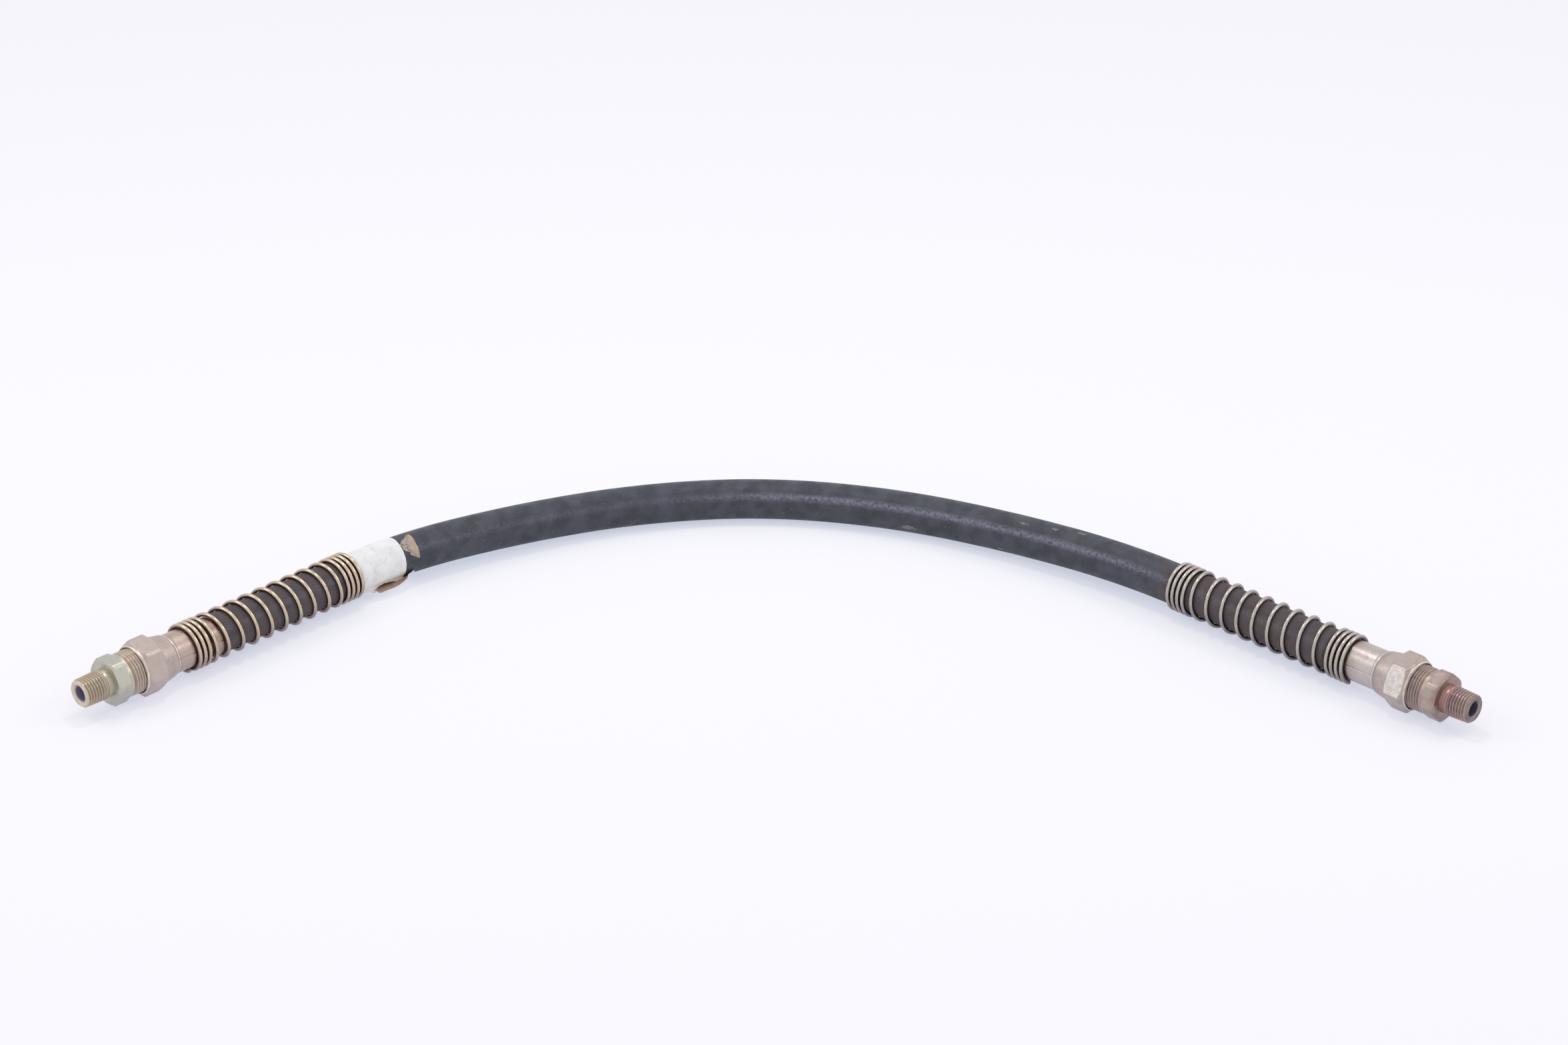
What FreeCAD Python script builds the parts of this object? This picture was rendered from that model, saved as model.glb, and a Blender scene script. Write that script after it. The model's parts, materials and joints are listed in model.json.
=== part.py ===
import FreeCAD, Part
import math
import os

# A short hydraulic hose with a reusable compression fitting and a wire spring guard at each end.
# Sizes are millimetres. Z is up and the floor is at Z = 0, X runs to the right and Y runs away
# from the viewer. Every piece of a fitting is drawn along its own axis, with X = 0 at the threaded
# end face and X growing towards the hose. It is then laid on the first or last run of the route.

Vector = FreeCAD.Vector
ALONG = Vector(1, 0, 0)

# Hose: bore and outer diameter, and the walls of the layers from the bore outwards
hose_bore = 9.525
hose_diameter = 19.05
liner_wall = 1.5
braid_wall = 1.1
layer_gap = 0.02

# Ferrule: a split sleeve that squeezes the cover, with a slightly larger head held by the nut
cover_squeeze = 1.05
ferrule_seat_gap = 0.03
ferrule_wall = 0.8
ferrule_head_lip = 0.22
ferrule_head_length = 4.5
ferrule_taper_length = 2.0
ferrule_length = 37.5
ferrule_slit_width = 0.2
ferrule_edge = 0.3

# Straight thread between body and nut, drawn at its major diameter
thread_pitch = 25.4 / 18
thread_over_ferrule = 0.8
running_gap = 0.05
engaged_turns = 5.3
thread_chamfer = 0.7

# End body: male taper thread, neck, hexagon, collar, straight thread and nipple in one piece
taper_thread_radius = 6.58
taper_per_length = 1 / 32
taper_thread_length = 11.4
taper_thread_chamfer = 0.8
neck_length = 2.8
neck_depth = 0.35
body_hex_length = 6.9
body_hex_corner_loss = 0.5
body_collar_length = 1.9
bare_thread_length = 6.3
relief_width = 1.0
relief_depth = 0.7
bore_chamfer = 0.9
nipple_gap = 0.06
nipple_wall = 1.2
nipple_length = 34.0
nipple_barbs = 5
nipple_barb_depth = 0.3
nipple_tip_length = 2.0
seat_gap = 0.3

# Nut: thin front collar, hexagon with turned corners, tapered round shoulder with a thin lip
nut_flat_wall = 1.53
nut_corner_loss = 0.25
nut_length = 18.4
nut_front_collar = 1.2
nut_hex_length = 9.8
nut_shoulder_drop = 0.55
nut_lip_wall = 0.6
nut_edge = 0.4
nut_cone_length = 2.5
chamfer_run_per_rise = 0.6

# Spring guard: closed coils at both ends, an easing turn beside each, and open coils between
guard_wire = 1.72
guard_gap = 0.22
closed_pitch = 2.8
closed_half_turns = 7
open_half_turns = 16
least_wire_gap = 0.4

# What differs between the two ends: where the guard's first turn starts behind the nut and the
# angle round the axis at which it starts, underneath, the pitches of its easing and open turns,
# and how the nut, the body and the ferrule's slit have come to lie. Angles are degrees. Nut and
# body count from a flat underneath.
LEFT = {
    "guard_start": 8.9, "guard_angle": -115.0, "outer_easing": 5.7, "open_pitch": 8.34,
    "inner_easing": 5.2, "nut_roll": 11.0, "body_roll": 0.0, "slit": 82.0,
}
RIGHT = {
    "guard_start": 15.8, "guard_angle": -65.0, "outer_easing": 8.67, "open_pitch": 8.67,
    "inner_easing": 3.5, "nut_roll": -8.0, "body_roll": -16.0, "slit": -80.0,
}

# Paper label on the first bend: a sleeve that is open at the lower front, and a loose flap that
# comes forward from underneath. Then the remnant of a second sticker. Angles count from straight
# down towards the viewer's side.
paper_thickness = 0.18
paper_gap = 0.05
label_start = 1.2
label_length = 25.0
label_open_angle = 32.0
flap_start = 5.0
flap_length = 19.0
flap_width = 8.0
flap_curl = 60.0
sticker_gap = 0.8
sticker_length = 8.0
sticker_angle = 98.0
sticker_sweep = 82.0

# Sizes that follow from the ones above
cover_radius = hose_diameter / 2
liner_radius = hose_bore / 2 + liner_wall
braid_radius = liner_radius + layer_gap + braid_wall
squeezed_radius = cover_radius - cover_squeeze
ferrule_inner = squeezed_radius + ferrule_seat_gap
ferrule_outer = ferrule_inner + ferrule_wall
ferrule_head = ferrule_outer + ferrule_head_lip
thread_radius = ferrule_head + thread_over_ferrule
body_flat = thread_radius
nut_bore = thread_radius + running_gap
nut_flat = nut_bore + nut_flat_wall
nut_corner = nut_flat / math.cos(math.pi / 6) - nut_corner_loss
body_corner = body_flat / math.cos(math.pi / 6) - body_hex_corner_loss
nipple_radius = hose_bore / 2 - nipple_gap
passage_radius = nipple_radius - nipple_wall
guard_inner = cover_radius + guard_gap
guard_radius = guard_inner + guard_wire / 2

# Places along a fitting's axis, from the end face
hex_start = taper_thread_length + neck_length
hex_end = hex_start + body_hex_length
collar_end = hex_end + body_collar_length
nut_start = collar_end + bare_thread_length
nut_end = nut_start + nut_length
thread_end = nut_start + engaged_turns * thread_pitch
hose_start = thread_end + seat_gap
ferrule_start = hose_start
ferrule_end = ferrule_start + ferrule_length
nipple_end = hose_start + nipple_length


def lowest_of_hex(flat, corner, roll):
    """Depth below the axis of a hexagon with turned corners, rolled from flat underneath."""
    corner_half = math.acos(flat / corner)
    angles = []
    for side in range(6):
        normal = math.radians(-90 + 60 * side + roll)
        angles += [normal - corner_half, normal + corner_half]
    return max(-corner * math.sin(angle) for angle in angles)


# Route of the hose: the first and last runs are the axes of the two fittings, and start at their
# end faces. Each fitting lies on its nut, and the hose sinks to the floor between them.
left_height = lowest_of_hex(nut_flat, nut_corner, LEFT["nut_roll"])
right_height = lowest_of_hex(nut_flat, nut_corner, RIGHT["nut_roll"])
route = [
    Vector(-304.6, -49.8, left_height),
    Vector(-176.7, 81.0, left_height),
    Vector(-120.0, 115.9, 11.0),
    Vector(-63.3, 138.5, 9.7),
    Vector(-4.2, 145.2, 9.6),
    Vector(55.6, 133.8, 9.7),
    Vector(110.5, 108.0, 10.6),
    Vector(163.5, 71.7, right_height),
    Vector(304.7, -62.8, right_height),
]
arc_share = 0.45


def unit(vector):
    return vector * (1 / vector.Length)


def revolve(points):
    """Solid of revolution about X from a closed outline of (x, radius) points."""
    outline = [Vector(x, radius, 0) for x, radius in points]
    face = Part.Face(Part.makePolygon(outline + outline[:1]))
    return face.revolve(Vector(0, 0, 0), ALONG, 360)


def hexagon(flat, start, length, roll):
    """Hexagonal prism along X whose flat lies underneath when roll is 0."""
    corner = flat / math.cos(math.pi / 6)
    points = []
    for side in range(7):
        angle = math.radians(60 * side + roll)
        points.append(Vector(start, corner * math.cos(angle), corner * math.sin(angle)))
    return Part.Face(Part.makePolygon(points)).extrude(Vector(length, 0, 0))


def around_hexagon(flat, start, end, roll):
    """What a milling cutter takes off a turned blank to leave a hexagon from start to end."""
    far = 2 * flat
    stock = revolve([(start, 0), (start, far), (end, far), (end, 0)])
    return stock.cut(hexagon(flat, start, end - start, roll))


def chamfer_length(corner, radius):
    """Length along the axis of the turned chamfer from a hexagon's corner down to a radius."""
    return (corner - radius) * chamfer_run_per_rise


def body_profile():
    """Outline of the end body, outside from the end face to the nipple's tip, then back inside."""
    taper_end = taper_thread_radius + taper_thread_length * taper_per_length
    chamfer_end = taper_thread_radius + taper_thread_chamfer * taper_per_length
    neck = taper_end - neck_depth
    hex_chamfer = chamfer_length(body_corner, body_flat)
    outline = [
        (0, passage_radius + bore_chamfer),
        (0, chamfer_end - taper_thread_chamfer),
        (taper_thread_chamfer, chamfer_end),
        (taper_thread_length, taper_end),
        (taper_thread_length + neck_depth, neck),
        (hex_start, neck),
        (hex_start, body_flat),
        (hex_start + hex_chamfer, body_corner),
        (hex_end - hex_chamfer, body_corner),
        (hex_end, body_flat),
        (collar_end - relief_depth, body_flat),
        (collar_end, thread_radius - relief_depth),
        (collar_end + relief_width, thread_radius - relief_depth),
        (collar_end + relief_width + relief_depth, thread_radius),
        (thread_end - thread_chamfer, thread_radius),
        (thread_end, thread_radius - thread_chamfer),
    ]
    return outline + nipple_profile() + [(bore_chamfer, passage_radius)]


def nipple_profile():
    """Barbed nipple: each barb rises gently towards the body and drops sharply behind it."""
    root = nipple_radius - nipple_barb_depth
    step = (nipple_length - nipple_tip_length) / nipple_barbs
    points = [(thread_end, nipple_radius)]
    for barb in range(nipple_barbs):
        start = hose_start + barb * step
        points += [(start, nipple_radius), (start + step / 8, root), (start + step, nipple_radius)]
    tip = (nipple_end, passage_radius + (nipple_radius - passage_radius) / 2)
    return points + [tip, (nipple_end, passage_radius)]


def end_body(roll):
    """Turned body, cut to a hexagon between the neck and the collar."""
    turned = revolve(body_profile())
    return turned.cut(around_hexagon(body_flat, hex_start, hex_end, roll))


def nut_profile():
    """Outline of the nut: outside from front to rear, then the lip, cone and threaded bore."""
    collar = nut_flat - nut_edge
    shoulder = nut_flat - nut_shoulder_drop
    lip_bore = ferrule_outer + running_gap
    lip = lip_bore + nut_lip_wall
    hex_front = nut_start + nut_front_collar
    hex_rear = hex_front + nut_hex_length
    cone_start = ferrule_start + ferrule_head_length + running_gap
    return [
        (nut_start, nut_bore + thread_chamfer),
        (nut_start, collar - nut_edge),
        (nut_start + nut_edge, collar),
        (hex_front, collar),
        (hex_front + chamfer_length(nut_corner, collar), nut_corner),
        (hex_rear - chamfer_length(nut_corner, shoulder), nut_corner),
        (hex_rear, shoulder),
        (nut_end - nut_edge, lip),
        (nut_end, lip - nut_edge),
        (nut_end, lip_bore),
        (cone_start + nut_cone_length, lip_bore),
        (cone_start, nut_bore),
        (nut_start + thread_chamfer, nut_bore),
    ]


def nut(roll):
    """Compression nut: the turned blank is cut to a hexagon in front of its tapered shoulder."""
    blank = revolve(nut_profile())
    hex_rear = nut_start + nut_front_collar + nut_hex_length
    return blank.cut(around_hexagon(nut_flat, nut_start, hex_rear, roll))


def ferrule(slit_angle):
    """Split sleeve: larger head inside the nut, taper, thin tube and a slit along its length."""
    head_end = ferrule_start + ferrule_head_length
    sleeve = revolve([
        (ferrule_start, ferrule_inner),
        (ferrule_start, ferrule_head - ferrule_edge),
        (ferrule_start + ferrule_edge, ferrule_head),
        (head_end, ferrule_head),
        (head_end + ferrule_taper_length, ferrule_outer),
        (ferrule_end - ferrule_edge, ferrule_outer),
        (ferrule_end, ferrule_outer - ferrule_edge),
        (ferrule_end, ferrule_inner),
    ])
    slit = Part.makeBox(
        ferrule_length, ferrule_slit_width, ferrule_head,
        Vector(ferrule_start, -ferrule_slit_width / 2, 0),
    )
    slit.rotate(Vector(0, 0, 0), ALONG, slit_angle)
    return sleeve.cut(slit)


def guard_pitches(place):
    """Pitch of each half turn, from the fitting inwards. Each easing lasts two half turns."""
    closed = [closed_pitch] * closed_half_turns
    opened = [place["open_pitch"]] * open_half_turns
    return closed + [place["outer_easing"]] * 2 + opened + [place["inner_easing"]] * 2 + closed


def guard_nodes(place):
    """Points and directions of the wire's middle line at every half turn."""
    pitches = guard_pitches(place)
    nodes = []
    along = nut_end + place["guard_start"]
    for half in range(len(pitches) + 1):
        before = pitches[max(half - 1, 0)]
        after = pitches[min(half, len(pitches) - 1)]
        angle = math.radians(place["guard_angle"]) + math.pi * half
        across = guard_radius * math.cos(angle)
        upward = guard_radius * math.sin(angle)
        advance = (before + after) / 2 / (2 * math.pi)
        nodes.append((Vector(along, across, upward), unit(Vector(advance, -upward, across))))
        along += after / 2
    return nodes


def arc_from(start, direction, end):
    """Circular arc that leaves start along a direction and reaches end."""
    chord = end - start
    middle = start + chord * 0.5
    ahead = unit(chord)
    side = direction - ahead * direction.dot(ahead)
    turn = direction.getAngle(chord)
    top = middle + unit(side) * (chord.Length / 2 * math.tan(turn / 2))
    return Part.Arc(start, top, end)


def biarc(start, start_direction, end, end_direction):
    """Two arcs that join smoothly between two points with given directions."""
    gap = end - start
    both = start_direction + end_direction
    a = both.dot(both) - 4
    b = -2 * gap.dot(both)
    c = gap.dot(gap)
    reach = (-b - math.sqrt(b * b - 4 * a * c)) / (2 * a)
    joint = (start + end + (start_direction - end_direction) * reach) * 0.5
    first = arc_from(start, start_direction, joint)
    second = arc_from(end, end_direction * -1, joint)
    return first, second


def guard_path(nodes):
    """Middle line of the wire: a biarc for each half turn and a straight wire's width at each end."""
    first_point, first_direction = nodes[0]
    last_point, last_direction = nodes[-1]
    edges = [Part.LineSegment(first_point - first_direction * guard_wire, first_point).toShape()]
    for (point, direction), (next_point, next_direction) in zip(nodes, nodes[1:]):
        for arc in biarc(point, direction, next_point, next_direction):
            edges.append(arc.toShape())
    edges.append(Part.LineSegment(last_point, last_point + last_direction * guard_wire).toShape())
    return Part.Wire(Part.__sortEdges__(edges))


def least_gap(path, turns, samples_per_turn=48):
    """Least gap between the wire and its neighbouring turns, measured on points of its line."""
    points = path.discretize(Number=samples_per_turn * turns)
    away = samples_per_turn // 2
    nearest = min(
        points[i].distanceToPoint(points[j])
        for i in range(len(points))
        for j in range(i + away, min(i + 2 * samples_per_turn, len(points)))
    )
    return nearest - guard_wire


def spring_guard(place):
    """One unbroken round wire wound right-handed."""
    nodes = guard_nodes(place)
    path = guard_path(nodes)
    point, direction = nodes[0]
    section = Part.Wire(Part.Circle(point - direction * guard_wire, direction, guard_wire / 2).toShape())
    gap = least_gap(path, len(nodes) // 2)
    print("spring guard: least gap to itself %.2f mm, wanted over %.2f" % (gap, least_wire_gap))
    return path.makePipeShell([section], True, False)


def corner_arc(before, corner, after):
    """Tangent arc at a corner of the route, as large as its shorter run allows."""
    inward, outward = unit(corner - before), unit(after - corner)
    reach = arc_share * min((corner - before).Length, (after - corner).Length)
    half_turn = inward.getAngle(outward) / 2
    radius = reach / math.tan(half_turn)
    towards = unit(outward - inward)
    top = corner + towards * (radius / math.cos(half_turn) - radius)
    return corner - inward * reach, top, corner + outward * reach, radius, towards


def route_arcs():
    return [corner_arc(*route[i - 1:i + 2]) for i in range(1, len(route) - 1)]


def hose_path(start_inset, end_inset):
    """Straight runs joined by tangent arcs, starting and ending inside the two fittings."""
    start = route[0] + unit(route[1] - route[0]) * start_inset
    end = route[-1] + unit(route[-2] - route[-1]) * end_inset
    edges = []
    here = start
    for first, top, last, radius, towards in route_arcs():
        edges.append(Part.LineSegment(here, first).toShape())
        edges.append(Part.Arc(first, top, last).toShape())
        here = last
    edges.append(Part.LineSegment(here, end).toShape())
    return Part.Wire(edges)


def disc(radius, centre, direction):
    return Part.Face(Part.Wire(Part.Circle(centre, direction, radius).toShape()))


def tube(outer, inner, start_inset, end_inset, name):
    """Hose layer along the route, with its volume set against section times length."""
    path = hose_path(start_inset, end_inset)
    direction = unit(route[1] - route[0])
    centre = route[0] + direction * start_inset
    ring = disc(outer, centre, direction).cut(disc(inner, centre, direction))
    solid = path.makePipe(ring.Faces[0])
    expected = math.pi * (outer ** 2 - inner ** 2) * path.Length
    share = solid.Volume / expected
    print("%s: %.1f mm long, volume %.5f of section times length" % (name, path.Length, share))
    return solid


def squeezed_end(end):
    """Cover under the ferrule, drawn in, and its swell back to full size behind the ferrule."""
    inner = braid_radius + layer_gap
    sleeve = revolve([
        (hose_start, inner),
        (hose_start, squeezed_radius),
        (ferrule_end, squeezed_radius),
        (ferrule_end + cover_squeeze, cover_radius),
        (ferrule_end + 2 * cover_squeeze, cover_radius),
        (ferrule_end + 2 * cover_squeeze, inner),
    ])
    return lay(sleeve, end)


def hose_cover():
    inset = ferrule_end + 2 * cover_squeeze
    middle = tube(cover_radius, braid_radius + layer_gap, inset, inset, "hose cover between ferrules")
    whole = middle.fuse([squeezed_end(0), squeezed_end(-1)])
    return whole.removeSplitter()


def lay(shape, end):
    """Lay a piece drawn along X on the first run (end 0) or the last run (end -1) of the route."""
    start = route[end]
    towards = route[1] if end == 0 else route[-2]
    heading = math.degrees(math.atan2(towards.y - start.y, towards.x - start.x))
    placed = shape.copy()
    placed.rotate(Vector(0, 0, 0), Vector(0, 0, 1), heading)
    placed.translate(start)
    return placed


def first_bend():
    """Start of the hose's first bend, its centre, the axis there, down, and the viewer's side."""
    first, top, last, radius, towards = route_arcs()[0]
    along = unit(route[1] - route[0])
    side = unit(towards - along * towards.dot(along))
    return first, first + side * radius, along, unit(along.cross(side)), side


def band_on_bend(inner, start, length, from_angle, sweep, curl=0.0):
    """Paper on the first bend. Its section is an arc of the given inner radius round the hose's
    axis, which curl moves straight up. Start and length are taken along the bend."""
    first, centre, along, down, side = first_bend()
    middle = first - down * curl
    outer = inner + paper_thickness

    def rim(radius, angle):
        turn = math.radians(angle)
        return middle + down * (radius * math.cos(turn)) + side * (radius * math.sin(turn))

    halfway = from_angle + sweep / 2
    last = from_angle + sweep
    section = Part.Face(Part.Wire([
        Part.Arc(rim(inner, from_angle), rim(inner, halfway), rim(inner, last)).toShape(),
        Part.LineSegment(rim(inner, last), rim(outer, last)).toShape(),
        Part.Arc(rim(outer, last), rim(outer, halfway), rim(outer, from_angle)).toShape(),
        Part.LineSegment(rim(outer, from_angle), rim(inner, from_angle)).toShape(),
    ]))
    bend = (centre - first).Length
    section.rotate(centre, down, math.degrees(start / bend))
    return section.revolve(centre, down, math.degrees(length / bend))


def paper_label():
    """Sleeve from the lower front over the top to underneath, and the flap tangent to its end."""
    inner = cover_radius + paper_gap
    sleeve = band_on_bend(inner, label_start, label_length, label_open_angle, 360 - label_open_angle)
    reach = math.degrees(math.asin(flap_width / flap_curl))
    flap = band_on_bend(flap_curl, label_start + flap_start, flap_length, 0, reach, flap_curl - inner)
    return sleeve.fuse(flap)


def sticker_remnant():
    inner = cover_radius + paper_gap
    start = label_start + label_length + sticker_gap
    return band_on_bend(inner, start, sticker_length, sticker_angle, sticker_sweep)


def build():
    """Every piece by name, each where it lies."""
    ends = hose_start
    pieces = {
        "hose_liner": tube(liner_radius, hose_bore / 2, ends, ends, "hose liner"),
        "hose_braid": tube(braid_radius, liner_radius + layer_gap, ends, ends, "hose braid"),
        "hose_cover": hose_cover(),
        "paper_label": paper_label(),
        "sticker_remnant": sticker_remnant(),
    }
    for side, end, place in (("left", 0, LEFT), ("right", -1, RIGHT)):
        pieces[side + "_end_body"] = lay(end_body(place["body_roll"]), end)
        pieces[side + "_nut"] = lay(nut(place["nut_roll"]), end)
        pieces[side + "_ferrule"] = lay(ferrule(place["slit"]), end)
        pieces[side + "_spring_guard"] = lay(spring_guard(place), end)
    return pieces


pieces = build()
os.makedirs("parts", exist_ok=True)
fittings = FreeCAD.BoundBox()
for name, shape in pieces.items():
    shape.exportStep("parts/%s.step" % name)
    box = shape.optimalBoundingBox(False, False)
    if name.startswith(("left", "right")):
        fittings.add(box)
    print("%s: %d solid, valid %s, volume %.0f, z %.2f to %.2f" % (
        name, len(shape.Solids), shape.isValid(), shape.Volume, box.ZMin, box.ZMax))
print("middle of the fittings' box: x %.3f, y %.3f" % (fittings.Center.x, fittings.Center.y))
for corner, arc in zip(route[1:-1], route_arcs()):
    print("bend at (%.0f, %.0f): radius %.0f mm" % (corner.x, corner.y, arc[3]))
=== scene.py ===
# %% [markdown]
# # A hydraulic hose with two spring guards
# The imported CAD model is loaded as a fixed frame. What follows dresses it: each step says what
# the piece is on the real hose, how it could be made in Blender, and why this way was chosen.
# Everything is in metres and stands where the CAD model stands.

# %% Load the frame
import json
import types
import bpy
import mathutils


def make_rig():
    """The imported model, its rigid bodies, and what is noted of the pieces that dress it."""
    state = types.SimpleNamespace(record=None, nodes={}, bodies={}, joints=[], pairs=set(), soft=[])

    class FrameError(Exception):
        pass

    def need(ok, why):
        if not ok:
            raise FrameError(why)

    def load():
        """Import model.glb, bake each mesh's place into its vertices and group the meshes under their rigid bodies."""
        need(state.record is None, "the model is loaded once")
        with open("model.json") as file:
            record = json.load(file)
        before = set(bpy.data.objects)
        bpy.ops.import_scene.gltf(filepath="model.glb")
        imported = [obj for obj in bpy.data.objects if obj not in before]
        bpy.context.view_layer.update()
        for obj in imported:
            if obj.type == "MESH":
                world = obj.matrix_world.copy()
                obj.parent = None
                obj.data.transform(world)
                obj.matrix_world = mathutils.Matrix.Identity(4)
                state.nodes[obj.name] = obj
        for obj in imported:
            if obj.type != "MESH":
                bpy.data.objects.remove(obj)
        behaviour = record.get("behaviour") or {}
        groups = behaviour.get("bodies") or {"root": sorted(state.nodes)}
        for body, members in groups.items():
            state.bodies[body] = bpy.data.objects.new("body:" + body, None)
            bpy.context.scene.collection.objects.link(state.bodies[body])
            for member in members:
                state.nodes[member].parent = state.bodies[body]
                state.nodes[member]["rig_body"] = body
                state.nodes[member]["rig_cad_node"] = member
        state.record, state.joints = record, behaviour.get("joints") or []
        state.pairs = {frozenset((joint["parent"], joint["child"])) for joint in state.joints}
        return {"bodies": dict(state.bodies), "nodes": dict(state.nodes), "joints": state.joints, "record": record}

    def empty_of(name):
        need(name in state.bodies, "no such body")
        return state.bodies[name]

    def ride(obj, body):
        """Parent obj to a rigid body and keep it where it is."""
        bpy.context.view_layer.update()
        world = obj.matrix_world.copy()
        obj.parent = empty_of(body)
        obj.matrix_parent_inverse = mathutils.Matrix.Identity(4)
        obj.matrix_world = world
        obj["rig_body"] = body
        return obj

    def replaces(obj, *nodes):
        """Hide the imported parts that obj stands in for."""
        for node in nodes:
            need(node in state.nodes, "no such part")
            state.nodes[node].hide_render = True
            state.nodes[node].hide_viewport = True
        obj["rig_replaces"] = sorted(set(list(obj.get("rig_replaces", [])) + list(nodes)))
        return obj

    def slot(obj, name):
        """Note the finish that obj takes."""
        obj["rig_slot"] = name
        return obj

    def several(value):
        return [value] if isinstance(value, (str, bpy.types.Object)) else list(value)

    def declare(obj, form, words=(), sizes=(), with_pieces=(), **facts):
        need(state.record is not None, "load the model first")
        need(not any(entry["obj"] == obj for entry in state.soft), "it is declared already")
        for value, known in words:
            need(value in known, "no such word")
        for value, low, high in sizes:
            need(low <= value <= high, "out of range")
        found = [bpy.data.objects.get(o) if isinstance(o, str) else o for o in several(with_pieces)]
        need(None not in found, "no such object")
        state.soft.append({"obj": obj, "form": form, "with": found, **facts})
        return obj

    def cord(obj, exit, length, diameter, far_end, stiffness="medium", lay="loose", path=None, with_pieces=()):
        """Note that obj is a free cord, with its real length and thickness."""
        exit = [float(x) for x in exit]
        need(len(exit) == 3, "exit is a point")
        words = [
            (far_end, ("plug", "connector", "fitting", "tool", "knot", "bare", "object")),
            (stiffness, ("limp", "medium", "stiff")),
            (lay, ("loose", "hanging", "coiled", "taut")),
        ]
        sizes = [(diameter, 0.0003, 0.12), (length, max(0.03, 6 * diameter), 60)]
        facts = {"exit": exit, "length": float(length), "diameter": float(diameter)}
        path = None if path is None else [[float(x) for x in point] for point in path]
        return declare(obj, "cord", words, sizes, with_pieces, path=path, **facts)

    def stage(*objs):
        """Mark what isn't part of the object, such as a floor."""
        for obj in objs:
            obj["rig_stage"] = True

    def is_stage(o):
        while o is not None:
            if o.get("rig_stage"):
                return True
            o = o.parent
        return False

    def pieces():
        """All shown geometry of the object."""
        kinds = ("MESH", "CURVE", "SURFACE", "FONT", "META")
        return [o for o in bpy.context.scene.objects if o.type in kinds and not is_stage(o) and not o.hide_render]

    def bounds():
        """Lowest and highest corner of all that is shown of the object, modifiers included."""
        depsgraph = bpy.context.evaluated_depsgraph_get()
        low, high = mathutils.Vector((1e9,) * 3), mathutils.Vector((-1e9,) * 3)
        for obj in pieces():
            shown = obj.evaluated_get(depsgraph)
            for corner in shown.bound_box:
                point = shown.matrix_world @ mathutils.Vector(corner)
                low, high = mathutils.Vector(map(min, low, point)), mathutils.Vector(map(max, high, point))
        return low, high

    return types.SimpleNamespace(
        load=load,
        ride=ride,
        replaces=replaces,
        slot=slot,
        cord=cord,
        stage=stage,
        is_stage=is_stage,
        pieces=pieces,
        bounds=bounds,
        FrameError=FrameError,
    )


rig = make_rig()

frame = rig.load()
cad_box = [list(corner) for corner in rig.bounds()]

import json
import math
from bisect import bisect_left

import bpy
from mathutils import Matrix, Vector

MM = 0.001
print("CAD box in mm:", [[round(1000 * v, 1) for v in corner] for corner in cad_box])

# %% [markdown]
# ## Camera
# The photograph was taken from in front and about 28 degrees above, with a long lens. A camera
# is set by its place, what it looks at and its focal length. The numbers come from fitting the
# two fittings, the coils and the hose's outline to the photograph, and nothing is shifted.

# %% Camera
aim = Vector((4.2, 137.0, 0.0)) * MM
camera_distance = 1934.6 * MM
camera_height_angle = 0.4827
photo_width_pixels, focal_length_pixels = 2352, 6038
back = Vector((0, -math.cos(camera_height_angle), math.sin(camera_height_angle)))
bpy.ops.object.select_all(action="DESELECT")
bpy.ops.object.camera_add(location=aim + back * camera_distance)
camera = bpy.context.object
camera.name = "camera"
camera.rotation_euler = back.to_track_quat("Z", "Y").to_euler()
camera.data.sensor_width = 36
camera.data.lens = focal_length_pixels * camera.data.sensor_width / photo_width_pixels
camera.data.clip_end = 20
bpy.context.scene.camera = camera
print("lens %.1f mm, camera at" % camera.data.lens, [round(v, 3) for v in camera.location])

# %% [markdown]
# ## Small helpers
# Colours are written as sRGB hex values, the way a colour picker shows them, and shaders need
# them linear. One function does that. Another adds a node to a material with its settings and
# links, so that each material below reads as a short list.

# %% Colours
def linear(code):
    """Linear colour from an sRGB hex code such as 8a8f94."""
    parts = [int(code[i:i + 2], 16) / 255 for i in (0, 2, 4)]
    return [p / 12.92 if p <= 0.04045 else ((p + 0.055) / 1.055) ** 2.4 for p in parts] + [1.0]


print("grey 808080 is %.3f in linear light" % linear("808080")[0])


# %% Materials and nodes
def new_material(name):
    """A node material without nodes, and its tree."""
    material = bpy.data.materials.new(name)
    material.use_nodes = True
    tree = material.node_tree
    tree.nodes.clear()
    return material, tree


def finish_material(tree, shader):
    out = tree.nodes.new("ShaderNodeOutputMaterial")
    tree.links.new(shader.outputs[0], out.inputs["Surface"])


def dress(piece, material):
    piece.data.materials.clear()
    piece.data.materials.append(material)
    print(piece.name, "is dressed in", material.name)


def add(tree, kind, settings=None, **inputs):
    """Add a node. settings are its properties. inputs are its sockets by name, or by number as in
    _0, each with a value or with another node's socket to link."""
    node = tree.nodes.new(kind)
    for key, value in (settings or {}).items():
        setattr(node, key, value)
    for key, value in inputs.items():
        name = key.replace("_", " ")
        socket = node.inputs[int(key[1:])] if key[1:].isdigit() else node.inputs[name]
        if isinstance(value, bpy.types.NodeSocket):
            tree.links.new(value, socket)
        else:
            socket.default_value = value
    return node


# %% Sums, shares and mixtures
def maths(tree, operation, a, b=0.0):
    return add(tree, "ShaderNodeMath", {"operation": operation}, _0=a, _1=b).outputs[0]


def times(tree, a, b):
    return maths(tree, "MULTIPLY", a, b)


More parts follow.
